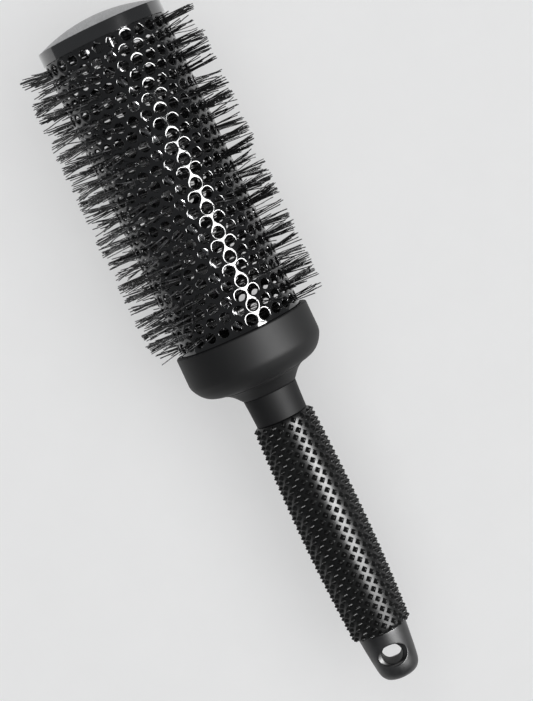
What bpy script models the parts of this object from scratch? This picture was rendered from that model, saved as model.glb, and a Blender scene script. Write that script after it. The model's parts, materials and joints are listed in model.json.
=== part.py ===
"""Round barrel brush, vented, with a perforated metal barrel.

A perforated barrel tube is closed by an end cap and stands in a moulded
collar. A twisted pair of stem wires runs along the axis and clamps rows of
bristles, which reach out through the rows of holes. A moulded handle core
with a hanging hole carries a neck sleeve and a rubber grip.

Metres, +Z up. The brush lies on its bristles along X, with the handle
towards +X and the axis of its hanging hole vertical. The origin is at the
centre of the underside of its bounding box.

Every piece is modelled upright first, in the frame of the empty
"brush_frame": z runs along the brush from the collar (z = 0) up to the end
cap, and the handle is below. The empty lays the brush down.
"""

import math

import bmesh
import bpy
from mathutils import Matrix, Vector

MM = 0.001

# ---- driving dimensions, millimetres --------------------------------------
GAP = 0.3                    # clearance kept between neighbouring pieces

# barrel
TUBE_R = 25.2
TUBE_WALL = 1.0
TUBE_TOP = 134.3
TUBE_BOTTOM = 4.0
HOLES_AROUND = 27
HOLE_R = 2.2
HOLE_SIDES = 6
ROW_TOP = 131.4              # first row of holes, next to the end cap
ROW_PITCH = 5.06
ROWS = 24
LATTICE_TURN = -1.0          # degrees, azimuth of the first hole of an even row

# bristles
TIP_R = 36.9
HUB_R = 4.6
HUB_BORE_R = 2.75
TUFT_WIDTH = 3.0
ROW_THICK = 1.2

# end cap
CAP_R = 25.6
CAP_BOTTOM = 134.6
CAP_RIM = 139.7
SKIRT_BOTTOM = 129.4
DISC_R = 24.8
DISC_WALL = 1.2
DISC_APEX = 144.7

# stem
WIRE_R = 1.05
WIRE_OFFSET = 1.27           # of each wire's centre line from the axis
WIRE_TOP = 134.6
WIRE_BOTTOM = -31.0
WIRE_LEAD = 13.8             # length of one full twist
WIRE_TURN = 140.0            # azimuth of the first wire level with the collar's shoulder, degrees

# collar
COLLAR_R = 27.7
COLLAR_RIM = 11.5
COLLAR_END = -14.7

# neck and grip
NECK_TOP_R = 11.1
NECK_END_R = 10.5
GRIP_TOP = -26.3
GRIP_END = -119.2
GRIP_R_TOP = 11.8
GRIP_R_MID = 13.0
GRIP_R_END = 11.7
GRIP_BORE_R = 8.9

# handle core
SPIGOT_R = 7.7
CORE_R = 8.6
CORE_TOP = -2.2
CORE_BORE_R = 4.55
CORE_BORE_END = -36.0
TIP_END = -139.9
HOLE_AT = -128.9             # axis of the hanging hole
HANG_R = 3.85
SINK_R = 5.9

# where the empty lays the brush: the lowest corner of a tuft is at height 0
AXIS_HEIGHT = max(
    -TIP_R * math.cos(math.radians(LATTICE_TURN + k * 360.0 / HOLES_AROUND) + side * TUFT_WIDTH / 2 / TIP_R)
    for k in range(HOLES_AROUND)
    for side in (-1, 1)
)
MID = (DISC_APEX + TIP_END) / 2  # middle of the length

# ---- scene ----------------------------------------------------------------
for old in list(bpy.data.objects):
    bpy.data.objects.remove(old, do_unlink=True)

brush = bpy.data.collections.new("round_barrel_brush")
helpers = bpy.data.collections.new("cutters")
helpers.hide_render = True
bpy.context.scene.collection.children.link(brush)
bpy.context.scene.collection.children.link(helpers)

frame = bpy.data.objects.new("brush_frame", None)
brush.objects.link(frame)
frame.empty_display_size = 0.02
frame.location = Vector((MID, 0.0, AXIS_HEIGHT)) * MM
frame.rotation_euler = (0.0, -math.pi / 2, 0.0)


def material(name, colour, roughness, metallic=0.0, coat=0.0):
    made = bpy.data.materials.new(name)
    made.use_nodes = True
    shader = made.node_tree.nodes["Principled BSDF"]
    shader.inputs["Base Color"].default_value = (*colour, 1.0)
    shader.inputs["Roughness"].default_value = roughness
    shader.inputs["Metallic"].default_value = metallic
    shader.inputs["Coat Weight"].default_value = coat
    made.diffuse_color = (*colour, 1.0)
    return made


def place(name, mesh, finish, smooth=True):
    """A new object of the brush, in the frame of the empty."""
    obj = bpy.data.objects.new(name, mesh)
    brush.objects.link(obj)
    obj.parent = frame
    mesh.materials.append(finish)
    if smooth:
        mesh.shade_smooth()
        mesh.set_sharp_from_angle(angle=math.radians(35))
    return obj


def profile_mesh(name, profile, closed=False):
    """The wire of a profile of (radius, z) points in mm. It runs down the
    outer side, and closed joins its last point to its first."""
    mesh = bpy.data.meshes.new(name)
    points = [(r * MM, 0.0, z * MM) for r, z in profile]
    edges = [(i, i + 1) for i in range(len(points) - 1)]
    if closed:
        edges.append((len(points) - 1, 0))
    mesh.from_pydata(points, edges, [])
    return mesh


def turn_profile(obj, steps):
    screw = obj.modifiers.new("turn", "SCREW")
    screw.axis = "Z"
    screw.steps = steps
    screw.render_steps = steps
    screw.use_merge_vertices = True
    screw.merge_threshold = 0.00001
    screw.use_smooth_shade = True


def turned(name, profile, steps, finish, closed=False):
    """A solid of revolution about z."""
    obj = place(name, profile_mesh(name, profile, closed), finish, smooth=False)
    turn_profile(obj, steps)
    return obj


def helper(name, mesh):
    obj = bpy.data.objects.new(name, mesh)
    helpers.objects.link(obj)
    obj.parent = frame
    obj.hide_render = True
    obj.display_type = "WIRE"
    return obj


def cut(obj, cutter):
    boolean = obj.modifiers.new("cut", "BOOLEAN")
    boolean.operation = "DIFFERENCE"
    boolean.solver = "EXACT"
    boolean.object = cutter


COATED_BLACK = material("barrel_coating", (0.012, 0.012, 0.013), 0.12, 0.0, 1.0)
CAP_BLACK = material("cap_plastic", (0.014, 0.014, 0.015), 0.42)
DISC_GREY = material("cap_disc_metal", (0.42, 0.42, 0.43), 0.38, 1.0)
BRISTLE_BLACK = material("bristle_nylon", (0.010, 0.010, 0.010), 0.35)
COLLAR_BLACK = material("collar_plastic", (0.020, 0.020, 0.021), 0.45)
NECK_BLACK = material("neck_plastic", (0.018, 0.018, 0.019), 0.45)
GRIP_BLACK = material("grip_rubber", (0.012, 0.012, 0.012), 0.40)
CORE_BLACK = material("handle_plastic", (0.035, 0.035, 0.036), 0.50)
STEEL = material("stem_steel", (0.45, 0.45, 0.46), 0.30, 1.0)
INNER_BLACK = material("inner_plastic", (0.03, 0.03, 0.03), 0.60)

# ---- barrel tube: one flat of the prism for each line of holes -------------
turn = math.radians(LATTICE_TURN)
step = math.tau / HOLES_AROUND

tube_mesh = bpy.data.meshes.new("barrel_tube")
bm = bmesh.new()
bmesh.ops.create_cone(
    bm,
    cap_ends=True,
    segments=HOLES_AROUND,
    radius1=TUBE_R * MM,
    radius2=TUBE_R * MM,
    depth=(TUBE_TOP - TUBE_BOTTOM) * MM,
)
bm.to_mesh(tube_mesh)
bm.free()
tube = place("barrel_tube", tube_mesh, COATED_BLACK, smooth=False)
first = min(
    (Vector(v.co).to_2d() for v in tube_mesh.vertices),
    key=lambda v: abs(math.atan2(v.y, v.x)),
)
settle = Matrix.Rotation(turn + step / 2 - math.atan2(first.y, first.x), 4, "Z")
settle = Matrix.Translation((0, 0, (TUBE_TOP + TUBE_BOTTOM) / 2 * MM)) @ settle
tube_mesh.transform(settle)

bore_mesh = bpy.data.meshes.new("tube_bore_cutter")
bm = bmesh.new()
bmesh.ops.create_cone(
    bm,
    cap_ends=True,
    segments=HOLES_AROUND,
    radius1=(TUBE_R - TUBE_WALL) * MM,
    radius2=(TUBE_R - TUBE_WALL) * MM,
    depth=(TUBE_TOP - TUBE_BOTTOM + 4.0) * MM,
)
bm.to_mesh(bore_mesh)
bm.free()
bore_mesh.transform(settle)
cut(tube, helper("tube_bore_cutter", bore_mesh))

# every second row of holes, each the centre of one row of bristles
CARRIED_ROWS = [ROW_TOP - ROW_PITCH * i for i in range(1, ROWS, 2)]

holes_mesh = bpy.data.meshes.new("tube_hole_cutters")
bm = bmesh.new()
for z in CARRIED_ROWS:
    for k in range(HOLES_AROUND):
        angle = turn + k * step
        aim = Matrix.Rotation(angle, 4, "Z") @ Matrix.Rotation(math.pi / 2, 4, "Y")
        aim = Matrix.Translation((0, 0, z * MM)) @ aim
        aim = aim @ Matrix.Translation((0, 0, (TUBE_R - TUBE_WALL / 2) * MM))
        bmesh.ops.create_cone(
            bm,
            cap_ends=True,
            segments=HOLE_SIDES,
            radius1=HOLE_R * MM,
            radius2=HOLE_R * MM,
            depth=(TUBE_WALL + 3.0) * MM,
            matrix=aim,
        )
bm.to_mesh(holes_mesh)
bm.free()
cut(tube, helper("tube_hole_cutters", holes_mesh))

# ---- bristle rows: a bound hub with one fanned tuft for each hole ----------


def bristle_outline():
    """The outline of one row, flat in the xy plane: at each hole a tuft
    that fans out from the hub, and at the hub a bore for the stem."""
    points = []
    half_tip = TUFT_WIDTH / 2 / TIP_R
    for k in range(HOLES_AROUND):
        angle = turn + k * step
        for radius, off in (
            (TIP_R, -half_tip),
            (TIP_R, half_tip),
            (HUB_R, step / 2),
        ):
            points.append(
                (radius * MM * math.cos(angle + off), radius * MM * math.sin(angle + off))
            )
    bore = [
        (HUB_BORE_R * MM * math.cos(math.tau * k / 8), HUB_BORE_R * MM * math.sin(math.tau * k / 8))
        for k in range(8)
    ]
    return points, bore


def flat_outline(name, outlines, thickness):
    curve = bpy.data.curves.new(name, "CURVE")
    curve.dimensions = "2D"
    curve.fill_mode = "BOTH"
    curve.extrude = thickness / 2 * MM
    for outline in outlines:
        spline = curve.splines.new("POLY")
        spline.points.add(len(outline) - 1)
        for point, (x, y) in zip(spline.points, outline):
            point.co = (x, y, 0.0, 1.0)
        spline.use_cyclic_u = True
    return curve


for number, z in enumerate(CARRIED_ROWS, start=1):
    curve = flat_outline(f"bristle_row_{number:02d}", bristle_outline(), ROW_THICK)
    curve.materials.append(BRISTLE_BLACK)
    row = bpy.data.objects.new(f"bristle_row_{number:02d}", curve)
    brush.objects.link(row)
    row.parent = frame
    row.location = (0.0, 0.0, z * MM)

# ---- end cap: web, plug skirt inside the tube, rim round the disc ----------
skirt_r = TUBE_R - TUBE_WALL - GAP - 0.2
turned(
    "end_cap",
    [
        (0.0, CAP_RIM - 2.1),
        (DISC_R + GAP, CAP_RIM - 2.1),
        (DISC_R + GAP, CAP_RIM - 0.1),
        (DISC_R + GAP + 0.15, CAP_RIM),
        (CAP_R - 0.12, CAP_RIM - 0.25),
        (CAP_R, CAP_RIM - 0.8),
        (CAP_R, CAP_BOTTOM),
        (skirt_r, CAP_BOTTOM),
        (skirt_r, SKIRT_BOTTOM),
        (skirt_r - 1.3, SKIRT_BOTTOM),
        (skirt_r - 1.3, CAP_RIM - 4.1),
        (6.4, CAP_RIM - 4.1),
        (6.4, SKIRT_BOTTOM),
        (4.4, SKIRT_BOTTOM),
        (4.4, CAP_RIM - 4.1),
        (0.0, CAP_RIM - 4.1),
    ],
    27,
    CAP_BLACK,
)

# ---- end cap disc: a pressed dome that drops into the cap ------------------
rise = DISC_APEX - (CAP_RIM - 0.1)
dome_r = (DISC_R**2 + rise**2) / (2 * rise)
dome_centre = DISC_APEX - dome_r


def dome(radius, count, reach):
    """Points down a dome from the axis out to the given reach."""
    return [
        (reach * i / count, dome_centre + math.sqrt(radius**2 - (reach * i / count) ** 2))
        for i in range(count + 1)
    ]


turned(
    "end_cap_disc",
    dome(dome_r, 5, DISC_R)
    + [(DISC_R, CAP_RIM - 2.1 + GAP), (DISC_R - DISC_WALL, CAP_RIM - 2.1 + GAP)]
    + dome(dome_r - DISC_WALL, 3, DISC_R - DISC_WALL)[::-1],
    27,
    DISC_GREY,
)

# ---- stem: two twisted wires, held at both ends ----------------------------


def wire(name, phase):
    curve = bpy.data.curves.new(name, "CURVE")
    curve.dimensions = "3D"
    curve.bevel_depth = WIRE_R * MM
    curve.bevel_resolution = 1
    curve.use_fill_caps = True
    spline = curve.splines.new("POLY")
    length = WIRE_TOP - WIRE_BOTTOM
    count = round(length / WIRE_LEAD * 8)
    spline.points.add(count)
    for i, point in enumerate(spline.points):
        z = WIRE_BOTTOM + length * i / count
        angle = phase - math.tau * z / WIRE_LEAD
        point.co = (
            WIRE_OFFSET * MM * math.cos(angle),
            WIRE_OFFSET * MM * math.sin(angle),
            z * MM,
            1.0,
        )
    curve.materials.append(STEEL)
    obj = bpy.data.objects.new(name, curve)
    brush.objects.link(obj)
    obj.parent = frame


wire("stem_wire_a", math.radians(WIRE_TURN))
wire("stem_wire_b", math.radians(WIRE_TURN + 180.0))

turned(
    "stem_tip_bush",
    [(4.1, CAP_RIM - 4.5), (4.1, SKIRT_BOTTOM + 0.6), (2.75, SKIRT_BOTTOM + 0.6), (2.75, CAP_RIM - 4.5)],
    20,
    INNER_BLACK,
    closed=True,
)
turned(
    "stem_socket",
    [(4.2, -14.0), (4.2, WIRE_BOTTOM - 1.5), (2.75, WIRE_BOTTOM - 1.5), (2.75, -14.0)],
    20,
    STEEL,
    closed=True,
)

# ---- barrel seat: plug pressed into the tube's lower end -------------------
seat_r = TUBE_R - TUBE_WALL - GAP - 0.2
turned(
    "barrel_seat",
    [
        (seat_r - 0.5, TUBE_BOTTOM + 7.5),
        (seat_r, TUBE_BOTTOM + 6.5),
        (seat_r, TUBE_BOTTOM - GAP),
        (TUBE_R - 0.4, TUBE_BOTTOM - GAP),
        (TUBE_R - 0.4, TUBE_BOTTOM - 2.4),
        (5.2, TUBE_BOTTOM - 2.4),
        (5.2, TUBE_BOTTOM + 3.0),
        (8.0, TUBE_BOTTOM + 3.0),
        (8.0, TUBE_BOTTOM),
        (seat_r - 1.8, TUBE_BOTTOM),
        (seat_r - 1.8, TUBE_BOTTOM + 7.5),
    ],
    27,
    INNER_BLACK,
    closed=True,
)

# ---- collar: a cup with a rounded shoulder and a concave flare -------------
turned(
    "collar",
    [
        (COLLAR_R - 0.5, COLLAR_RIM),
        (COLLAR_R, COLLAR_RIM - 0.7),
        (COLLAR_R + 0.05, 0.0),
        (27.0, -2.4),
        (25.7, -4.8),
        (24.3, -6.5),
        (22.4, -7.8),
        (20.2, -8.6),
        (17.6, -9.2),
        (15.2, -10.5),
        (13.5, -12.1),
        (11.9, -13.6),
        (NECK_TOP_R, COLLAR_END),
        (SPIGOT_R + GAP, COLLAR_END),
        (SPIGOT_R + GAP, 1.2),
        (10.4, 1.2),
        (10.4, -8.2),
        (16.6, -5.4),
        (21.8, -3.6),
        (23.2, 1.2),
        (TUBE_R + GAP, 1.2),
        (TUBE_R + GAP, COLLAR_RIM),
    ],
    28,
    COLLAR_BLACK,
    closed=True,
)

# ---- neck sleeve ----------------------------------------------------------
turned(
    "neck_sleeve",
    [
        (NECK_TOP_R, COLLAR_END - GAP),
        (NECK_END_R, GRIP_TOP + GAP / 2),
        (SPIGOT_R + GAP, GRIP_TOP + GAP / 2),
        (SPIGOT_R + GAP, COLLAR_END - GAP),
    ],
    32,
    NECK_BLACK,
    closed=True,
)

# ---- grip sleeve: gently barrelled ----------------------------------------


def grip_radius(z):
    """Outer radius of the grip at half the height of its studs."""
    if z > -75.0:
        share = (GRIP_TOP - z) / (GRIP_TOP + 75.0)
        return GRIP_R_TOP + (GRIP_R_MID - GRIP_R_TOP) * math.sin(share * math.pi / 2)
    share = (-75.0 - z) / (-75.0 - GRIP_END)
    return GRIP_R_MID - (GRIP_R_MID - GRIP_R_END) * (1 - math.cos(share * math.pi / 2))


grip_top = GRIP_TOP - GAP / 2
grip_end = GRIP_END + GAP / 2
turned(
    "grip_sleeve",
    [
        (grip_radius(z), z)
        for z in (grip_top + (grip_end - grip_top) * i / 7 for i in range(8))
    ]
    + [(GRIP_BORE_R, grip_end), (GRIP_BORE_R, grip_top)],
    28,
    GRIP_BLACK,
    closed=True,
)

# ---- handle core: spigot, rod and exposed tip with the hanging hole --------
core = turned(
    "handle_core",
    [
        (0.0, CORE_BORE_END),
        (CORE_BORE_R, CORE_BORE_END),
        (CORE_BORE_R, CORE_TOP),
        (SPIGOT_R - 0.4, CORE_TOP),
        (SPIGOT_R, CORE_TOP - 0.5),
        (SPIGOT_R, GRIP_TOP - 0.6),
        (CORE_R, GRIP_TOP - 0.6),
        (CORE_R, GRIP_END - GAP / 2),
        (10.15, GRIP_END - GAP / 2),
        (9.95, -121.5),
        (9.5, -126.5),
        (8.7, -133.4),
        (8.05, -136.5),
        (7.05, -138.3),
        (4.6, -139.5),
        (0.0, TIP_END),
    ],
    28,
    CORE_BLACK,
)


# the hanging hole runs along local x, with a countersink on each side
flare = (SINK_R - HANG_R) / 2.6
cutter = helper(
    "hanging_hole_cutter",
    profile_mesh(
        "hanging_hole_cutter",
        [
            (0.0, 12.0),
            (HANG_R + 5.2 * flare, 12.0),
            (HANG_R, 6.8),
            (HANG_R, -6.8),
            (HANG_R + 5.2 * flare, -12.0),
            (0.0, -12.0),
        ],
    ),
)
turn_profile(cutter, 20)
cutter.location = (0.0, 0.0, HOLE_AT * MM)
cutter.rotation_euler = (0.0, math.pi / 2, 0.0)
cut(core, cutter)
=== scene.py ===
"""The looks of the round barrel brush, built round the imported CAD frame.

The brush lies on a plain pale floor, with its axis along X, its end cap
towards -X and its handle towards +X, and is seen from above. Every visible
piece is made here as a fine mesh in the place of its CAD node: a perforated
barrel with rolled-in hole rims, loose nylon filaments, turned plastic parts and
a rubber grip covered in pyramid studs.

Lengths are in millimetres along the brush (t, from the collar towards the
handle) and out from its axis (r), with azimuth phi from straight up towards
+Y. point() turns them into metres in the frame of the CAD.
"""

import json
import math

import bmesh
import bpy
import numpy as np
from mathutils import Matrix, Vector

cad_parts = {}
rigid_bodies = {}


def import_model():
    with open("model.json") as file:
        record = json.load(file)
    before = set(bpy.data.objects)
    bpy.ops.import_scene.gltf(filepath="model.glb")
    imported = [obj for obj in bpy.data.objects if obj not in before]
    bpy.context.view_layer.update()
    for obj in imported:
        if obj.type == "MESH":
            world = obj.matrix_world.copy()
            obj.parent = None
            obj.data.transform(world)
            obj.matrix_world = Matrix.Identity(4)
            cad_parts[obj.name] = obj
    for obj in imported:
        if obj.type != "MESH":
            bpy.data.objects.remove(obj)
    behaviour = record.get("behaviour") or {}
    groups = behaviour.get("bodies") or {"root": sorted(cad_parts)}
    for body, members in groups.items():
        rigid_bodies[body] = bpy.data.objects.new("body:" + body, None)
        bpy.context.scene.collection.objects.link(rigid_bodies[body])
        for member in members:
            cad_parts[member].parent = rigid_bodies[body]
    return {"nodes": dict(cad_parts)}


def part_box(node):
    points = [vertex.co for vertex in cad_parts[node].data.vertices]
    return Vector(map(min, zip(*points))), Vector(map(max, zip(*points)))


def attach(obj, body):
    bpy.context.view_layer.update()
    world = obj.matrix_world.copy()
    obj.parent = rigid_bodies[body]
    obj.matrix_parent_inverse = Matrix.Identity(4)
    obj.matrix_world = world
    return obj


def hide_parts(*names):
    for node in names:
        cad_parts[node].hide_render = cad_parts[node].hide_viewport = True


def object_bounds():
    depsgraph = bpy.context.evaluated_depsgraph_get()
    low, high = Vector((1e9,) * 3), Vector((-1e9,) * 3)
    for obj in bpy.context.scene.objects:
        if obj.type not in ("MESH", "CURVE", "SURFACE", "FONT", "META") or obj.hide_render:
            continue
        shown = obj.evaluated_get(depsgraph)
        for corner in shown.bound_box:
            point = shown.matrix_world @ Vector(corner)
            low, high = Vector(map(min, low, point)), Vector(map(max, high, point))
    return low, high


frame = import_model()
CAD_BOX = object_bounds()

MM = 0.001
APEX_Z = 144.7  # of the end cap's dome, from the collar
collar_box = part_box("collar")
disc_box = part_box("end_cap_disc")
AXIS_Z = (collar_box[0].z + collar_box[1].z) / 2
AXIS_Y = (collar_box[0].y + collar_box[1].y) / 2
OFFSET_X = disc_box[0].x + APEX_Z * MM
FLOOR_Z = CAD_BOX[0].z


def point(t, r, phi):
    """World coordinates of points given along, out from and round the axis."""
    t, r, phi = np.broadcast_arrays(t, r, phi)
    return np.stack(
        [OFFSET_X + t * MM, AXIS_Y + r * np.sin(phi) * MM, AXIS_Z + r * np.cos(phi) * MM],
        axis=-1,
    )


def mesh_object(name, verts, faces, finish, smooth=True, sharp=None):
    """A mesh from an array of points and a list of face tuples."""
    mesh = bpy.data.meshes.new(name)
    mesh.from_pydata([tuple(v) for v in np.asarray(verts).tolist()], [], faces)
    mesh.validate()
    obj = bpy.data.objects.new(name, mesh)
    bpy.context.scene.collection.objects.link(obj)
    mesh.materials.append(finish)
    if smooth:
        mesh.shade_smooth()
        if sharp is not None:
            mesh.set_sharp_from_angle(angle=math.radians(sharp))
    return obj


def turned(name, profile, finish, steps=160, sharp=None, closed=False):
    """A solid of revolution round the brush's axis. The profile is (t, r)
    points. Points on the axis become one vertex."""
    verts, rings = [], []
    for t, r in profile:
        if r < 1e-6:
            rings.append([len(verts)])
            verts.append(point(t, 0.0, 0.0))
        else:
            rings.append(list(range(len(verts), len(verts) + steps)))
            verts.extend(point(t, r, np.arange(steps) * math.tau / steps))
    faces = []
    pairs = list(zip(rings, rings[1:]))
    if closed:
        pairs.append((rings[-1], rings[0]))
    for a, b in pairs:
        for i in range(steps):
            j = (i + 1) % steps
            if len(a) == 1 and len(b) > 1:
                faces.append((a[0], b[i], b[j]))
            elif len(b) == 1 and len(a) > 1:
                faces.append((a[i], b[0], a[j]))
            elif len(a) > 1:
                faces.append((a[i], b[i], b[j], a[j]))
    obj = mesh_object(name, verts, faces, finish, sharp=sharp)
    face_out(obj)
    return obj


def face_out(obj):
    bm = bmesh.new()
    bm.from_mesh(obj.data)
    bmesh.ops.recalc_face_normals(bm, faces=bm.faces)
    bm.to_mesh(obj.data)
    bm.free()


def rounded(points, radius, count=4):
    """A profile whose inner corners are rounded. radius is one number, or
    one for each point."""
    radii = radius if isinstance(radius, (list, tuple)) else [radius] * len(points)
    out = [points[0]]
    for i in range(1, len(points) - 1):
        p, q, s = (np.array(points[k], float) for k in (i - 1, i, i + 1))
        a, b = p - q, s - q
        la, lb = np.linalg.norm(a), np.linalg.norm(b)
        cut = min(radii[i], la * 0.45, lb * 0.45)
        if cut < 1e-4:
            out.append(tuple(q))
            continue
        start, end = q + a / la * cut, q + b / lb * cut
        for k in range(count + 1):
            u = k / count
            out.append(tuple((1 - u) ** 2 * start + 2 * u * (1 - u) * q + u**2 * end))
    out.append(points[-1])
    return out


def smooth_curve(points, count):
    """Points along a Catmull-Rom curve through the given points."""
    p = np.array([points[0], *points, points[-1]], float)
    out = []
    for i in range(1, len(p) - 2):
        for k in range(count):
            u = k / count
            out.append(
                tuple(
                    0.5
                    * (
                        2 * p[i]
                        + (p[i + 1] - p[i - 1]) * u
                        + (2 * p[i - 1] - 5 * p[i] + 4 * p[i + 1] - p[i + 2]) * u**2
                        + (3 * p[i] - p[i - 1] - 3 * p[i + 1] + p[i + 2]) * u**3
                    )
                )
            )
    out.append(tuple(p[-2]))
    return out


# ---------------------------------------------------------------------------
# materials
# ---------------------------------------------------------------------------


class Shader:
    """A procedural material on one Principled BSDF."""

    def __init__(self, name, colour, roughness, metallic=0.0, specular=0.5, coat=0.0, coat_roughness=0.03, ior=1.5):
        self.material = bpy.data.materials.new(name)
        self.material.use_nodes = True
        self.nodes = self.material.node_tree.nodes
        self.links = self.material.node_tree.links
        self.bsdf = self.nodes["Principled BSDF"]
        put = self.bsdf.inputs
        put["Base Color"].default_value = (*colour, 1.0)
        put["Roughness"].default_value = roughness
        put["Metallic"].default_value = metallic
        put["Specular IOR Level"].default_value = specular
        put["Coat Weight"].default_value = coat
        put["Coat Roughness"].default_value = coat_roughness
        put["IOR"].default_value = ior
        self.bumps = []
        self.coords = self.nodes.new("ShaderNodeTexCoord")

    def node(self, kind, **values):
        made = self.nodes.new(kind)
        for key, value in values.items():
            if key in made.inputs:
                made.inputs[key].default_value = value
            else:
                setattr(made, key, value)
        return made

    def space(self, scale=(1.0, 1.0, 1.0)):
        """Object coordinates, in metres, stretched."""
        mapping = self.node("ShaderNodeMapping")
        mapping.inputs["Scale"].default_value = scale
        self.links.new(self.coords.outputs["Object"], mapping.inputs["Vector"])
        return mapping.outputs["Vector"]

    def noise(self, scale, detail=4.0, rough=0.55, stretch=(1.0, 1.0, 1.0)):
        tex = self.node("ShaderNodeTexNoise", Scale=scale, Detail=detail, Roughness=rough)
        self.links.new(self.space(stretch), tex.inputs["Vector"])
        return tex.outputs["Fac"]

    def ramp(self, value, low, high, a=0.0, b=1.0):
        made = self.node("ShaderNodeMapRange")
        made.inputs["From Min"].default_value = low
        made.inputs["From Max"].default_value = high
        made.inputs["To Min"].default_value = a
        made.inputs["To Max"].default_value = b
        self.links.new(value, made.inputs["Value"])
        return made.outputs["Result"]

    def mix(self, factor, one, two):
        made = self.nodes.new("ShaderNodeMix")
        made.data_type = "RGBA"
        sockets = {s.identifier: s for s in made.inputs}
        for key, value in (("A_Color", one), ("B_Color", two)):
            if isinstance(value, tuple):
                sockets[key].default_value = (*value, 1.0)
            else:
                self.links.new(value, sockets[key])
        self.links.new(factor, sockets["Factor_Float"])
        return next(s for s in made.outputs if s.identifier == "Result_Color")

    def colour(self, output):
        self.links.new(output, self.bsdf.inputs["Base Color"])

    def roughness(self, output):
        self.links.new(output, self.bsdf.inputs["Roughness"])

    def bump(self, height, strength, distance):
        made = self.node("ShaderNodeBump", Strength=strength, Distance=distance)
        self.links.new(height, made.inputs["Height"])
        if self.bumps:
            self.links.new(self.bumps[-1].outputs["Normal"], made.inputs["Normal"])
        self.bumps.append(made)
        self.links.new(made.outputs["Normal"], self.bsdf.inputs["Normal"])


def grained(name, dark, light, rough, spread, grain=2600.0, depth=0.00001, strength=0.3, cloud=60.0, **more):
    """Moulded plastic or rubber: a fine grain, with cloudy wear in its
    colour and its roughness."""
    made = Shader(name, dark, rough, **more)
    wear = made.noise(cloud, 5.0, 0.6)
    fine = made.noise(grain, 3.0, 0.6)
    made.colour(made.mix(made.ramp(wear, 0.3, 0.7), dark, light))
    made.roughness(made.ramp(wear, 0.25, 0.75, rough - spread, rough + spread))
    made.bump(fine, strength, depth)
    return made.material


def enamel(name):
    """Gloss black coating over metal: very faint orange peel, dust and
    finger smears."""
    made = Shader(name, (0.006, 0.006, 0.0065), 0.12, coat=0.5, coat_roughness=0.04)
    peel = made.noise(350.0, 2.0, 0.5)
    smear = made.noise(90.0, 5.0, 0.65)
    made.colour(made.mix(made.ramp(smear, 0.35, 0.75), (0.004, 0.004, 0.0045), (0.010, 0.010, 0.011)))
    made.roughness(made.ramp(smear, 0.3, 0.75, 0.05, 0.11))
    made.bump(peel, 0.12, 0.00001)
    return made.material


def nylon(name):
    """Drawn black filament, a little duller in places. Some filaments carry a lighter
    colour that is a painted highlight, sheen along the strand, and their cut tips a
    lighter colour that is a painted glint: both are stored on the mesh, as point attributes."""
    made = Shader(name, (0.005, 0.005, 0.005), 0.28, ior=1.53)
    along = made.noise(900.0, 3.0, 0.5)
    plain = made.mix(made.ramp(along, 0.3, 0.7), (0.003, 0.003, 0.003), (0.009, 0.009, 0.0095))
    painted_sheen = made.node("ShaderNodeAttribute", attribute_name="painted_sheen")
    tip = made.node("ShaderNodeAttribute", attribute_name="tip")
    # painted highlight: a lighter colour on some filaments stands in for sheen along the strand
    painted_sheen_part = made.mix(painted_sheen.outputs["Fac"], plain, (0.26, 0.26, 0.265))
    # painted glint: the cut tips are made lighter
    made.colour(made.mix(tip.outputs["Fac"], painted_sheen_part, (0.50, 0.50, 0.51)))
    made.roughness(made.ramp(along, 0.3, 0.7, 0.20, 0.38))
    return made.material


def brushed(name):
    """Light grey metal foil with a fine crossed grain."""
    made = Shader(name, (0.56, 0.56, 0.57), 0.5, metallic=0.25, specular=0.4)
    one = made.noise(300.0, 4.0, 0.6, (1.0, 9.0, 1.0))
    two = made.noise(300.0, 4.0, 0.6, (1.0, 1.0, 9.0))
    both = made.node("ShaderNodeMath", operation="ADD")
    made.links.new(one, both.inputs[0])
    made.links.new(two, both.inputs[1])
    line = made.ramp(both.outputs["Value"], 0.75, 1.25)
    made.colour(made.mix(line, (0.30, 0.30, 0.305), (0.52, 0.52, 0.525)))
    made.roughness(made.ramp(both.outputs["Value"], 0.7, 1.3, 0.42, 0.6))
    made.bump(both.outputs["Value"], 0.3, 0.00003)
    return made.material


def steel(name):
    made = Shader(name, (0.62, 0.62, 0.63), 0.26, metallic=1.0)
    drawn = made.noise(500.0, 3.0, 0.6, (0.2, 1.0, 1.0))
    made.colour(made.mix(drawn, (0.50, 0.50, 0.51), (0.72, 0.72, 0.73)))
    made.roughness(made.ramp(drawn, 0.3, 0.7, 0.20, 0.32))
    return made.material


ENAMEL = enamel("gloss_black_enamel")
CAP = grained("cap_satin_plastic", (0.006, 0.006, 0.0065), (0.011, 0.011, 0.012), 0.12, 0.03, specular=0.7, coat=1.0, coat_roughness=0.05, ior=1.6)
DISC = brushed("brushed_disc")
NYLON = nylon("black_nylon")
COLLAR = grained("collar_satin_plastic", (0.007, 0.007, 0.0075), (0.011, 0.011, 0.0115), 0.58, 0.04, specular=0.31)
NECK = grained("neck_satin_plastic", (0.008, 0.008, 0.0085), (0.012, 0.012, 0.0125), 0.60, 0.04, specular=0.22)
RUBBER = grained("grip_rubber", (0.003, 0.003, 0.003), (0.007, 0.007, 0.007), 0.32, 0.04, grain=3200.0, strength=0.15, specular=0.38)
TIP = grained("handle_satin_plastic", (0.008, 0.008, 0.0085), (0.024, 0.024, 0.025), 0.43, 0.13, cloud=170.0, specular=0.7)
# a darker copy of the handle's finish for the hanging hole's bore: painted shading inside the hole
BORE = grained("handle_bore_plastic", (0.003, 0.003, 0.003), (0.007, 0.007, 0.0072), 0.50, 0.06, specular=0.08)
INNER = grained("inner_moulding", (0.012, 0.012, 0.012), (0.022, 0.022, 0.022), 0.6, 0.05)
STEEL = steel("stem_steel")

# ---------------------------------------------------------------------------
# barrel tube
# ---------------------------------------------------------------------------

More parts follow.
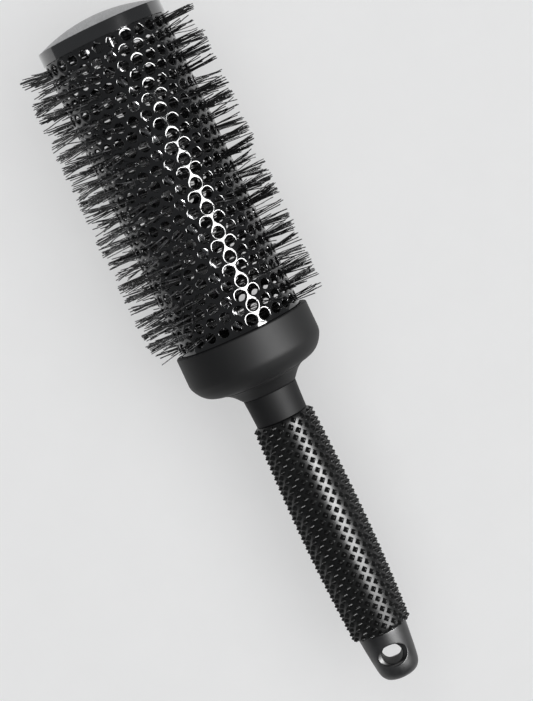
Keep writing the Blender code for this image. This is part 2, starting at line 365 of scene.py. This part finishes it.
TUBE_R, TUBE_WALL = 25.2, 0.75
TUBE_TOP, TUBE_END = -134.3, -4.0
AROUND, ROWS = 27, 24
ROW_FIRST, ROW_PITCH = -131.4, 5.06
LATTICE_TURN = -1.0
FIRST_LIMITS = (2.80, 2.72, 2.64, 2.56)  # of the outer rings of the first row's cells
STEP = math.tau / AROUND


def row_t(i):
    return ROW_FIRST + ROW_PITCH * i


def row_turn(i):
    """Azimuth of the first hole of row i: odd rows line up with the CAD's."""
    return math.radians(LATTICE_TURN) + (0.0 if i % 2 else STEP / 2)


def barrel():
    """One hexagonal cell of wall round each hole, whose rim is rolled in."""
    segments = 24
    wide = TUBE_R * STEP / 2  # half of the cell, round the tube
    high, low = ROW_PITCH * 2 / 3, ROW_PITCH / 3  # of its corners, along it
    corners = [(wide, low), (0.0, high), (-wide, low), (-wide, -low), (0.0, -high), (wide, -low)]
    edge, rays = [], []
    for k in range(segments):
        a, b = np.array(corners[k // 4]), np.array(corners[(k // 4 + 1) % 6])
        hit = a + (b - a) * (0.0, 0.268, 0.5, 0.732)[k % 4]
        edge.append(tuple(hit))
        rays.append(math.atan2(hit[1], hit[0]))
    # Round each hole the wall dips and rolls in: (distance from the hole's
    # axis, height over the wall)
    rim = [(2.84, 0.0), (2.72, -0.004), (2.60, -0.015), (2.48, -0.034), (2.37, -0.058), (2.28, -0.085), (2.20, -0.120), (2.14, -0.165), (2.095, -0.23), (2.07, -0.34), (2.06, -TUBE_WALL)]
    rings = [[(u, w, TUBE_R) for u, w in edge]]
    for rho, height in rim:
        rings.append([(rho * math.cos(a), rho * math.sin(a), TUBE_R + height) for a in rays])
    rings.append([(u, w, TUBE_R - TUBE_WALL) for u, w in edge])
    cell = np.array(rings)  # ring, segment, (u, w, radius)
    verts, faces = [], []
    count = 0
    for i in range(ROWS):
        t0 = row_t(i)
        shape = cell.copy()
        if i == 0:
            # the cap sits close above the first row
            for ring, limit in enumerate(FIRST_LIMITS):
                shape[ring, :, 1] = np.minimum(shape[ring, :, 1], limit)
        for k in range(AROUND):
            phi0 = row_turn(i) + k * STEP
            p = point(t0 - shape[:, :, 1], shape[:, :, 2], phi0 + shape[:, :, 0] / TUBE_R)
            verts.append(p.reshape(-1, 3))
            for ring in range(len(rings) - 1):
                for s in range(segments):
                    n = (s + 1) % segments
                    a, b = count + ring * segments, count + (ring + 1) * segments
                    faces.append((a + s, a + n, b + n, b + s))
            count += len(rings) * segments
    # the plain bands above the first row and below the last
    for i, t_edge, sign in ((0, TUBE_TOP, 1), (ROWS - 1, TUBE_END, -1)):
        t0 = row_t(i)
        limit = FIRST_LIMITS[0] if i == 0 else 99.0
        line = [p for p in edge if p[1] * sign > low - 1e-6]
        line = sorted(set(line), key=lambda p: p[0])
        for k in range(AROUND):
            phi0 = row_turn(i) + k * STEP
            for (u0, w0), (u1, w1) in zip(line, line[1:]):
                w0, w1 = (sign * min(abs(w), limit) for w in (w0, w1))
                ts = [t0 - w0, t0 - w1]
                ph = [phi0 + u0 / TUBE_R, phi0 + u1 / TUBE_R]
                outer = [(ts[0], ph[0]), (ts[1], ph[1]), (t_edge, ph[1]), (t_edge, ph[0])]
                for r in (TUBE_R, TUBE_R - TUBE_WALL):
                    verts.append(np.array([point(t, r, f) for t, f in outer]))
                    faces.append((count, count + 1, count + 2, count + 3))
                    count += 4
                ends = [(TUBE_R, ph[0]), (TUBE_R, ph[1]), (TUBE_R - TUBE_WALL, ph[1]), (TUBE_R - TUBE_WALL, ph[0])]
                verts.append(np.array([point(t_edge, r, f) for r, f in ends]))
                faces.append((count, count + 1, count + 2, count + 3))
                count += 4
    verts = np.concatenate(verts)
    _, first, index = np.unique(np.round(verts, 7), axis=0, return_index=True, return_inverse=True)
    index = index.reshape(-1)
    faces = [tuple(int(index[c]) for c in f) for f in faces]
    faces = [f for f in faces if len(set(f)) == 4]
    obj = mesh_object("barrel_tube_fine", verts[first], faces, ENAMEL, sharp=70)
    face_out(obj)
    return obj


tube = barrel()
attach(tube, "root")
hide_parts("barrel_tube")

# ---------------------------------------------------------------------------
# stem: two wires twisted round each other
# ---------------------------------------------------------------------------

WIRE_R, WIRE_OFFSET, WIRE_LEAD, WIRE_TURN = 1.18, 1.27, 13.8, 140.0
wire_boxes = [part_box(name) for name in ("stem_wire_a", "stem_wire_b")]
WIRE_FROM = (min(b[0].x for b in wire_boxes) - OFFSET_X) / MM
WIRE_TO = (max(b[1].x for b in wire_boxes) - OFFSET_X) / MM


def wire_turn(t):
    return math.radians(WIRE_TURN) + math.tau * t / WIRE_LEAD


def swept(line, radii, sides, verts, faces, count):
    """Adds a tube along line, closed at both ends, and returns the new count
    of vertices."""
    along = np.gradient(line, axis=0)
    along /= np.linalg.norm(along, axis=1)[:, None]
    side = np.array([1.0, 0.0, 0.0]) if abs(along[0][0]) < 0.8 else np.array([0.0, 0.0, 1.0])
    one = np.cross(along, side)
    one /= np.linalg.norm(one, axis=1)[:, None]
    two = np.cross(along, one)
    a = math.tau * (np.arange(sides) + 0.5) / sides
    ring = one[:, None] * np.cos(a)[None, :, None] + two[:, None] * np.sin(a)[None, :, None]
    verts.append((line[:, None] + ring * (np.asarray(radii) * MM)[:, None, None]).reshape(-1, 3))
    last = len(line) - 1
    for j in range(last):
        for k in range(sides):
            n = (k + 1) % sides
            a, b = count + j * sides, count + (j + 1) * sides
            faces.append((a + k, a + n, b + n, b + k))
    faces.append(tuple(count + sides - 1 - k for k in range(sides)))
    faces.append(tuple(count + last * sides + k for k in range(sides)))
    return count + len(line) * sides


for name, turn in (("stem_wire_a", 0.0), ("stem_wire_b", math.pi)):
    t = np.linspace(WIRE_FROM + 0.01, WIRE_TO - 0.01, 420)
    verts, faces = [], []
    ends = np.full(len(t), WIRE_R)
    ends[0] = ends[-1] = WIRE_R - 0.2
    swept(point(t, WIRE_OFFSET, wire_turn(t) + turn), ends, 14, verts, faces, 0)
    wire = mesh_object(name + "_fine", np.concatenate(verts), faces, STEEL, sharp=50)
    face_out(wire)
    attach(wire, "root")
    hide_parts(name)

# ---------------------------------------------------------------------------
# bristles
# ---------------------------------------------------------------------------

TIP_R = 36.9
FILAMENTS_PER_MM = 13.0  # along the stem, in each of its two directions, where it is fullest


def fullness(phi):
    """Share of the filaments that stand at an azimuth: the brush isn't equally
    full all round."""
    turn = (math.degrees(phi) + 180.0) % 360.0 - 180.0
    return float(np.interp(turn, (-180, -150, -95, -60, -45, -32, -14, -5, 30, 45, 62, 90, 115, 150, 180), (0.8, 1.0, 0.85, 1.0, 0.95, 0.55, 0.20, 0.10, 0.20, 0.38, 0.65, 0.95, 0.40, 0.24, 0.7)))


rng = np.random.default_rng(4711)


def nearest_hole(t, phi):
    best = None
    middle = round((t - ROW_FIRST) / ROW_PITCH)
    for i in range(middle - 1, middle + 2):
        if 0 <= i < ROWS:
            k = round((phi - row_turn(i)) / STEP)
            across = (row_turn(i) + k * STEP - phi) * TUBE_R
            far = math.hypot(across, row_t(i) - t)
            if best is None or far < best[0]:
                best = (far, i, k)
    return best


def filaments():
    """Filaments held between the twisted wires. They leave the stem at right
    angles to the wires on both sides, each goes through the hole nearest to
    it, and on in the same direction."""
    rows = [([], [], [0], [], []) for _ in range(ROWS)]
    start, end = row_t(0) - 2.2, row_t(ROWS - 1) + 2.2
    total = int((end - start) * FILAMENTS_PER_MM)
    for side in (0, 1):
        for n in range(total):
            t_root = start + (end - start) * (n + rng.random()) / total
            phi_root = wire_turn(t_root) + math.pi / 2 + side * math.pi + rng.normal(0.0, 0.12)
            if rng.random() > fullness(phi_root):
                continue
            _, i, k = nearest_hole(t_root, phi_root)
            phi_hole = row_turn(i) + k * STEP
            # where it crosses the hole
            pull_t = np.clip(t_root - row_t(i), -2.6, 2.6) * 0.25
            pull_u = np.clip((phi_root - phi_hole) * TUBE_R, -2.6, 2.6) * 0.25
            rho, alpha = 1.45 * math.sqrt(rng.random()), math.tau * rng.random()
            w, u = rho * math.sin(alpha) + pull_t, rho * math.cos(alpha) + pull_u
            far = math.hypot(w, u)
            if far > 1.75:
                w, u = w * 1.75 / far, u * 1.75 / far
            t_hole, phi_cross = row_t(i) + w, phi_hole + u / TUBE_R
            span = TUBE_R - 2.2
            lean_t = (t_hole - t_root) / span * 1.15 + rng.normal(0.0, 0.05)
            lean_u = (phi_cross - phi_root) * 13.0 / span * 0.6 + rng.normal(0.0, 0.035)
            tip_r = TIP_R - 0.15 - min(abs(rng.normal(0.0, 0.9)), 3.0)
            if rng.random() < 0.05:
                tip_r -= rng.random() * 5.0
            curl = rng.normal(0.0, 0.10, 2)
            phase = rng.random(2) * math.tau
            thick = rng.uniform(0.18, 0.215)
            rs = np.array([0.45, 9.0, 17.0, TUBE_R - 1.0, TUBE_R + 0.8, 28.4, 31.2, 33.6, tip_r - 0.28, tip_r - 0.10, tip_r])
            rs = np.unique(np.minimum(rs, tip_r))
            rs = np.concatenate([rs[:-3][np.diff(np.append(rs[:-3], tip_r - 0.28)) > 0.5], [tip_r - 0.28, tip_r - 0.10, tip_r]])
            inside = np.clip((rs - 2.2) / span, 0, 1)
            beyond = np.clip(rs - TUBE_R, 0, None)
            grow = np.clip(beyond / 4.0, 0, 1)
            t = t_root + (t_hole - t_root) * inside + lean_t * beyond + curl[0] * np.sin(rs * 0.7 + phase[0]) * grow
            phi = phi_root + (phi_cross - phi_root) * inside + (lean_u * beyond + curl[1] * np.sin(rs * 0.7 + phase[1]) * grow) / rs
            radii = np.full(len(rs), thick)
            radii[-2] *= 0.86
            radii[-1] *= 0.42
            verts, faces, count, painted_sheens, tips = rows[i]
            count[0] = swept(point(t, rs, phi), radii, 5, verts, faces, count[0])
            turn = (math.degrees(phi_root) + 180.0) % 360.0 - 180.0
            # painted highlight: more of the filaments on this side get the lighter sheen colour, where light would
            # catch them
            painted_sheen_part = 0.5 if -72.0 < turn < 8.0 else 0.08
            painted_sheen = rng.uniform(0.25, 1.0) if rng.random() < painted_sheen_part else 0.03 * rng.random()
            # the painted sheen stays near the barrel and fades out along the filament
            painted_sheens.append(np.repeat(painted_sheen * np.clip((33.0 - rs) / 5.0, 0.15, 1.0), 5))
            # painted glint: the last rings of the cut tip are marked for a lighter colour
            ends = np.zeros((len(rs), 5))
            ends[-1] = 1.0
            ends[-2] = 0.75
            tips.append(ends.reshape(-1))
    return rows


for i, (verts, faces, count, painted_sheens, tips) in enumerate(filaments()):
    row = mesh_object(f"bristle_filaments_{i + 1:02d}", np.concatenate(verts), faces, NYLON, sharp=80)
    for name, values in (("painted_sheen", painted_sheens), ("tip", tips)):
        kept = row.data.attributes.new(name, "FLOAT", "POINT")
        kept.data.foreach_set("value", np.concatenate(values).astype(np.float32))
    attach(row, "root")
    if i % 2:
        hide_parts(f"bristle_row_{(i + 1) // 2:02d}")

# ---------------------------------------------------------------------------
# end cap and its disc
# ---------------------------------------------------------------------------

CAP_R, CAP_RIM, CAP_BOTTOM = 25.6, -139.7, -134.6
DISC_R = 25.12
skirt = TUBE_R - TUBE_WALL - 0.5
cap = turned(
    "end_cap_fine",
    rounded(
        [
            (CAP_RIM + 2.1, 0.0),
            (CAP_RIM + 2.1, DISC_R + 0.08),
            (CAP_RIM + 0.03, DISC_R + 0.08),
            (CAP_RIM + 0.05, CAP_R),
            (CAP_RIM + 0.55, CAP_R),
            (CAP_BOTTOM - 0.3, CAP_R),
            (CAP_BOTTOM, CAP_R),
            (CAP_BOTTOM, skirt),
            (-133.2, skirt),
            (-133.2, skirt - 1.3),
            (CAP_RIM + 4.1, skirt - 1.3),
            (CAP_RIM + 4.1, 6.4),
            (-129.4, 6.4),
            (-129.4, 4.4),
            (CAP_RIM + 4.1, 4.4),
            (CAP_RIM + 4.1, 0.0),
        ],
        [0, 0.1, 0.1, 0.25, 0, 0, 0, 0.1, 0.2, 0.2, 0.3, 0.3, 0.2, 0.2, 0.2, 0],
        5,
    ),
    CAP,
    steps=192,
    sharp=40,
)
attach(cap, "root")
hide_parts("end_cap")

rise = (-CAP_RIM) - 0.1
rise = APEX_Z - rise
ball = (DISC_R**2 + rise**2) / (2 * rise)


def dome(radius, reach, count):
    centre = APEX_Z - ball
    return [
        (-(centre + math.sqrt(radius**2 - (reach * k / count) ** 2)), reach * k / count)
        for k in range(count + 1)
    ]


outer = dome(ball, DISC_R, 26)
inner = dome(ball - 1.2, DISC_R - 1.2, 14)
disc = turned(
    "end_cap_disc_fine",
    outer[:-1] + [(outer[-1][0] - 0.05, DISC_R - 0.18), (outer[-1][0] + 0.12, DISC_R)]
    + [(CAP_RIM + 1.8, DISC_R), (CAP_RIM + 1.8, DISC_R - 1.2)]
    + inner[::-1],
    DISC,
    steps=192,
    sharp=40,
)
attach(disc, "root")
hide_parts("end_cap_disc")

# ---------------------------------------------------------------------------
# collar, neck sleeve
# ---------------------------------------------------------------------------

COLLAR_R, COLLAR_RIM, COLLAR_END = 27.7, -11.5, 14.7
NECK_R = 11.1
shoulder = smooth_curve(
    [(0.0, 27.75), (1.3, 27.55), (2.6, 27.05), (4.8, 25.75), (6.5, 24.2), (7.8, 22.35), (8.6, 20.2), (9.05, 18.2), (9.25, 17.2)],
    6,
)
flare = smooth_curve([(9.5, 16.95), (10.2, 15.5), (11.3, 14.05), (12.6, 12.8), (13.7, 11.9), (14.35, 11.35)], 6)
collar = turned(
    "collar_fine",
    rounded(
        [(COLLAR_END, 8.0), (1.5, 8.0), (1.5, 25.5), (COLLAR_RIM, 25.5), (COLLAR_RIM, COLLAR_R), (-5.0, COLLAR_R + 0.02)],
        [0, 0.2, 0.5, 0.35, 0.75, 0],
        6,
    )
    + shoulder
    + [(9.32, 17.02)]
    + flare
    + [(COLLAR_END - 0.12, NECK_R), (COLLAR_END, NECK_R - 0.15)],
    COLLAR,
    steps=224,
    sharp=38,
    closed=True,
)
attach(collar, "root")
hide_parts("collar")

neck = turned(
    "neck_sleeve_fine",
    rounded(
        [(14.8, 8.0), (14.8, 11.08), (20.5, 10.72), (26.3, 10.5), (26.3, 8.0)],
        [0, 0.1, 2.0, 0.18, 0],
        5,
    ),
    NECK,
    steps=192,
    sharp=40,
    closed=True,
)
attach(neck, "root")
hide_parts("neck_sleeve")

# ---------------------------------------------------------------------------
# grip: a sleeve tiled with studs, each a blunt pyramid on a square foot
# ---------------------------------------------------------------------------

GRIP_TOP, GRIP_END = 26.45, 119.05
STUD_COLUMNS, STUD_PITCH, STUD_HIGH = 32, 4.302, 1.45
STUD_FIRST = 27.9  # centre of the first stud of the even columns
STUD_TURN = 18.6


def grip_base(t):
    """Radius of the ground between the studs."""
    t = np.asarray(t, float)
    up = np.clip((t - 26.3) / (75.0 - 26.3), 0, 1)
    down = np.clip((t - 75.0) / (119.2 - 75.0), 0, 1)
    return np.where(
        t < 75.0,
        11.1 + 1.2 * np.sin(up * math.pi / 2),
        12.3 - 1.3 * (1 - np.cos(down * math.pi / 2)),
    )


def studs():
    """Closed blunt pyramids, their feet sunk into the sleeve, with the
    diagonals of each foot along and round the grip."""
    turn = math.tau / STUD_COLUMNS
    foot, top, chamfer = 1.40, 0.46, 0.15
    # (half diagonal, height above the ground)
    steps = [
        (foot + 0.14, -0.30),
        (foot + 0.14, -0.01),
        (foot + 0.02, 0.05),
        (foot - 0.07, 0.17),
        ((foot + top) / 2 + 0.02, STUD_HIGH * 0.56),
        (top + 0.05, STUD_HIGH - 0.26),
        (top, STUD_HIGH - 0.12),
        (top - 0.08, STUD_HIGH - 0.04),
        (top - 0.18, STUD_HIGH),
    ]
    rings = []
    for half, high in steps:
        c = min(chamfer, half * 0.3)
        ring = []
        for du, dt in ((1, 0), (0, 1), (-1, 0), (0, -1)):
            # two points beside each corner
            for side in (-1, 1):
                ring.append((du * (half - c) - side * dt * c, dt * (half - c) + side * du * c, high))
        rings.append(ring)
    shape = np.array(rings)
    verts, faces, count = [], [], 0
    for column in range(STUD_COLUMNS):
        phi0 = math.radians(STUD_TURN) + column * turn
        first = STUD_FIRST + (STUD_PITCH / 2 if column % 2 else 0.0)
        total = int((GRIP_END - 0.75 - first) / STUD_PITCH) + 1
        for j in range(total):
            t0 = first + j * STUD_PITCH
            t = np.clip(t0 + shape[:, :, 1], GRIP_TOP + 0.02, GRIP_END - 0.02)
            ground = grip_base(t)
            p = point(t, ground + shape[:, :, 2], phi0 + shape[:, :, 0] / float(grip_base(t0) + 0.4))
            verts.append(p.reshape(-1, 3))
            for ring in range(len(rings) - 1):
                for k in range(8):
                    n = (k + 1) % 8
                    a, b = count + ring * 8, count + (ring + 1) * 8
                    faces.append((a + k, b + k, b + n, a + n))
            top_ring = count + (len(rings) - 1) * 8
            faces.append(tuple(count + k for k in range(8)))
            faces.append(tuple(top_ring + 7 - k for k in range(8)))
            count += len(rings) * 8
    return verts, faces, count


def grip_sleeve():
    """The sleeve and its studs, one mesh."""
    verts, faces, count = studs()
    steps = 192
    rings = [(GRIP_TOP, float(grip_base(GRIP_TOP)) - 0.25)]
    rings += [(t, float(grip_base(t))) for t in np.linspace(GRIP_TOP + 0.25, GRIP_END - 0.25, 60)]
    rings += [(GRIP_END, float(grip_base(GRIP_END)) - 0.25), (GRIP_END, 8.9), (GRIP_TOP, 8.9)]
    base = count
    for t, r in rings:
        verts.append(point(t, r, np.arange(steps) * math.tau / steps))
    for a in range(len(rings)):
        b = (a + 1) % len(rings)
        for k in range(steps):
            n = (k + 1) % steps
            faces.append((base + a * steps + k, base + b * steps + k, base + b * steps + n, base + a * steps + n))
    return mesh_object("grip_sleeve_fine", np.concatenate(verts), faces, RUBBER, sharp=44)


sleeve = grip_sleeve()
face_out(sleeve)
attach(sleeve, "root")
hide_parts("grip_sleeve")

# ---------------------------------------------------------------------------
# handle core: the rod inside the grip, and the tip with the hanging hole
# ---------------------------------------------------------------------------

HOLE_T, HANG_R, SINK_R, HOLE_TURN = 128.9, 4.05, 5.9, 3.0
tip_line = smooth_curve(
    [(119.45, 10.12), (121.5, 9.95), (126.5, 9.45), (133.0, 8.72), (135.6, 8.25), (137.2, 7.6), (138.6, 6.4), (139.45, 4.6), (139.8, 2.4), (139.9, 0.0)],
    6,
)
core = turned(
    "handle_core_fine",
    [
        (36.0, 0.0),
        (36.0, 4.55),
        (2.2, 4.55),
        (2.2, 7.3),
        (2.7, 7.7),
        (26.9, 7.7),
        (26.9, 8.6),
        (119.2, 8.6),
        (119.2, 9.9),
        (119.3, 10.08),
    ]
    + tip_line,
    TIP,
    steps=192,
)
# The bore is round. At both faces it opens out, further round the handle
# than along it: (height, half width along, half width round)
flare = np.array([
    (5.2, HANG_R, HANG_R),
    (5.55, HANG_R + 0.02, HANG_R + 0.06),
    (5.8, HANG_R + 0.05, HANG_R + 0.30),
    (6.1, HANG_R + 0.08, HANG_R + 0.85),
    (6.3, HANG_R + 0.12, HANG_R + 1.50),
    (6.45, HANG_R + 0.16, SINK_R - 0.02),
    (7.0, HANG_R + 0.20, SINK_R + 0.22),
    (8.0, HANG_R + 0.30, SINK_R + 0.36),
    (8.6, HANG_R + 0.40, SINK_R + 0.40),
    (10.5, HANG_R + 0.60, SINK_R + 0.50),
])
# its rounded outer edge: (distance outwards, depth below the tip's surface)
LIP = ((0.0, 0.42), (0.03, 0.28), (0.08, 0.17), (0.16, 0.09), (0.26, 0.035), (0.38, 0.005), (0.50, -0.02), (0.62, -0.30))
steps = 144
turns = np.arange(steps) * math.tau / steps
tip_t, tip_r = np.array(tip_line).T


def surface(along, across):
    """Height of the tip's surface over the bore's middle plane."""
    r = np.interp(HOLE_T + along, tip_t, tip_r)
    return np.sqrt(np.maximum(r * r - across * across, 1.0))


def opening(h):
    """Half widths of the opening at height h."""
    return np.interp(h, flare[:, 0], flare[:, 1]), np.interp(h, flare[:, 0], flare[:, 2])


exit_h = []
for turn in turns:
    tries = np.linspace(5.3, 10.4, 1021)
    a, b = opening(tries)
    above = tries >= surface(a * math.cos(turn), b * math.sin(turn))
    exit_h.append(tries[int(np.argmax(above))])
exit_h = np.array(exit_h)
rings = []
for share in np.linspace(0.0, 1.0, 14):
    h = 5.2 + (exit_h - 0.48 - 5.2) * share
    a, b = opening(h)
    rings.append(np.stack([a * np.cos(turns), b * np.sin(turns), h], axis=1))
a, b = opening(exit_h - 0.42)
for out, depth in LIP:
    x, y = (a + out) * np.cos(turns), (b + out) * np.sin(turns)
    rings.append(np.stack([x, y, surface(x, y) - depth], axis=1))
rings.append(np.stack([(a + 1.4) * np.cos(turns), (b + 1.4) * np.sin(turns), np.full(steps, 14.0)], axis=1))
flip = np.array([1.0, 1.0, -1.0])
rings = [ring * flip for ring in rings[::-1]] + rings
hole = bpy.data.meshes.new("hanging_hole_cutter")
verts = np.concatenate(rings) * MM
faces = []
for j in range(len(rings) - 1):
    for k in range(steps):
        n = (k + 1) % steps
        faces.append((j * steps + k, j * steps + n, (j + 1) * steps + n, (j + 1) * steps + k))
faces.append(tuple(range(steps - 1, -1, -1)))
faces.append(tuple((len(rings) - 1) * steps + k for k in range(steps)))
hole.from_pydata([tuple(v) for v in verts.tolist()], [], faces)
cutter = bpy.data.objects.new("hanging_hole_cutter", hole)
bpy.context.scene.collection.objects.link(cutter)
cutter.location = (OFFSET_X + HOLE_T * MM, AXIS_Y, AXIS_Z)
cutter.rotation_euler = (math.radians(HOLE_TURN), 0.0, 0.0)
boolean = core.modifiers.new("cut", "BOOLEAN")
boolean.operation = "DIFFERENCE"
boolean.solver = "EXACT"
boolean.object = cutter
bpy.context.view_layer.update()
cut_mesh = bpy.data.meshes.new_from_object(core.evaluated_get(bpy.context.evaluated_depsgraph_get()))
core.modifiers.clear()
core.data = cut_mesh
bpy.data.objects.remove(cutter, do_unlink=True)
cut_mesh.shade_smooth()
cut_mesh.set_sharp_from_angle(angle=math.radians(28))
# the bore's wall gets a darker, less specular copy of the handle's finish: its darker colour is painted shading
# inside the hole
cut_mesh.materials.append(BORE)
for face in cut_mesh.polygons:
    away = face.center - Vector((OFFSET_X + HOLE_T * MM, AXIS_Y, AXIS_Z))
    if math.hypot(away.x, away.y * math.cos(math.radians(HOLE_TURN)) + away.z * math.sin(math.radians(HOLE_TURN))) < (HANG_R + 0.12) * MM:
        face.material_index = 1
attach(core, "root")
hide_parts("handle_core")

# ---------------------------------------------------------------------------
# pieces inside keep their CAD shape
# ---------------------------------------------------------------------------

for name, finish in (
    ("stem_socket", STEEL),
    ("stem_tip_bush", INNER),
    ("barrel_seat", INNER),
):
    node = frame["nodes"][name]
    node.data.materials.clear()
    node.data.materials.append(finish)

# ---------------------------------------------------------------------------
# stage: floor, lights, camera
# ---------------------------------------------------------------------------

FLOOR_GLOW = 0.42


def floor_material():
    """Matt pale sheet over a light table, which glows a little from below."""
    made = Shader("pale_floor", (0.50, 0.50, 0.50), 0.8, specular=0.1)
    speck = made.noise(40.0, 4.0, 0.6)
    made.colour(made.mix(speck, (0.48, 0.48, 0.48), (0.52, 0.52, 0.52)))
    made.bsdf.inputs["Emission Color"].default_value = (1.0, 1.0, 1.0, 1.0)
    made.bsdf.inputs["Emission Strength"].default_value = FLOOR_GLOW
    return made.material


PALE = floor_material()


def sheet(name, inner, outer=None):
    """A flat floor over the rectangle inner, or between it and the rectangle
    outer, each (x from, x to, y from, y to)."""
    mesh = bpy.data.meshes.new(name)
    verts = [(r[i], r[2 + j], FLOOR_Z) for r in (inner, outer) if r for i, j in ((1, 1), (0, 1), (0, 0), (1, 0))]
    faces = [(k, 4 + k, 4 + (k + 1) % 4, (k + 1) % 4) for k in range(4)] if outer else [(0, 1, 2, 3)]
    mesh.from_pydata(verts, [], faces)
    mesh.materials.append(PALE)
    obj = bpy.data.objects.new(name, mesh)
    bpy.context.scene.collection.objects.link(obj)
    face_out(obj)
    return obj


NEAR = (-0.42, 0.42, -0.30, 0.20)
near_floor = sheet("floor_near", NEAR)
far_floor = sheet("floor_far", NEAR, (-6.0, 6.0, -6.0, 6.0))
far_floor.visible_glossy = False

world = bpy.data.worlds.new("studio")
bpy.context.scene.world = world
world.use_nodes = True
tree = world.node_tree
backdrop = tree.nodes["Background"]
backdrop.inputs["Color"].default_value = (1.0, 1.0, 1.0, 1.0)
backdrop.inputs["Strength"].default_value = 0.70
dim = tree.nodes.new("ShaderNodeBackground")
dim.inputs["Color"].default_value = (0.94, 0.97, 1.0, 1.0)
dim.inputs["Strength"].default_value = 0.20
path = tree.nodes.new("ShaderNodeLightPath")
choose = tree.nodes.new("ShaderNodeMixShader")
tree.links.new(path.outputs["Is Camera Ray"], choose.inputs[0])
tree.links.new(dim.outputs[0], choose.inputs[1])
tree.links.new(backdrop.outputs[0], choose.inputs[2])
tree.links.new(choose.outputs[0], tree.nodes["World Output"].inputs["Surface"])

CENTRE = Vector((0.0, AXIS_Y, AXIS_Z))


def area_light(name, phi, distance, length, width, radiance, along=0.0, glossy=True, diffuse=True):
    """A rectangular light facing the brush, at an azimuth round its axis,
    long along X."""
    data = bpy.data.lights.new(name, "AREA")
    data.shape = "RECTANGLE"
    data.size = length
    data.size_y = width
    data.energy = radiance * math.pi * length * width
    obj = bpy.data.objects.new(name, data)
    bpy.context.scene.collection.objects.link(obj)
    a = math.radians(phi)
    out = Vector((0.0, math.sin(a), math.cos(a)))
    x = Vector((1.0, 0.0, 0.0))
    turn = Matrix((x, out.cross(x), out)).transposed().to_4x4()
    obj.matrix_world = Matrix.Translation(CENTRE + out * distance + x * along) @ turn
    obj.visible_glossy = glossy
    obj.visible_diffuse = diffuse
    return obj


area_light("strip_key", 38.9, 1.1, 0.277, 0.31, 29.0, along=0.0435, diffuse=False)
area_light("strip_tail", 38.9, 1.1, 0.118, 0.80, 54.0, along=0.241, diffuse=False)
area_light("strip_fade", 38.9, 1.1, 0.07, 0.80, 21.0, along=0.335, diffuse=False)
area_light("strip_end", 38.9, 1.1, 0.10, 0.90, 9.5, along=0.42, diffuse=False)
area_light("overhead_soft", 8.0, 1.6, 2.6, 2.6, 1.0, glossy=False)
# a gridded box: it lights the cap and hardly touches the floor before it
cap_fill = area_light("cap_fill", 0.0, 0.45, 0.8, 0.8, 0.16, glossy=False)
cap_fill.data.spread = math.radians(40.0)
cap_fill.matrix_world = Matrix.Translation((-1.3, 0.0, 0.75)) @ Vector((-1.3, 0.0, 0.7)).to_track_quat("Z", "Y").to_matrix().to_4x4()
for lamp in bpy.context.scene.objects:
    if lamp.type == "LIGHT":
        lamp.visible_camera = False

FOCAL_PX, DISTANCE, TILT = 2200.0, 856.0, math.radians(5.5)
SHIFT_S, SHIFT_P = -0.42, -14.24  # aim beside the collar's shoulder, along and across the brush, in the units of FOCAL_PX
cam_data = bpy.data.cameras.new("camera")
cam_data.lens = FOCAL_PX / 701.0 * 36.0
cam_data.sensor_width = 36.0
cam_data.clip_start, cam_data.clip_end = 0.05, 20.0
cam = bpy.data.objects.new("camera", cam_data)
bpy.context.scene.collection.objects.link(cam)
u = Vector((math.cos(TILT), 0.0, math.sin(TILT)))
v = Vector((0.0, 1.0, 0.0))
ahead = Vector((math.sin(TILT), 0.0, -math.cos(TILT)))
right = 0.42517 * u + 0.90511 * v
down = 0.90511 * u - 0.42517 * v
anchor = Vector((OFFSET_X, AXIS_Y, AXIS_Z))
spot = anchor - (ahead + u * (SHIFT_S / FOCAL_PX) + v * (SHIFT_P / FOCAL_PX)) * (DISTANCE * MM)
cam.matrix_world = Matrix.Translation(spot) @ Matrix((right, -down, -ahead)).transposed().to_4x4()
bpy.context.scene.camera = cam
bpy.context.scene.view_settings.view_transform = "Standard"
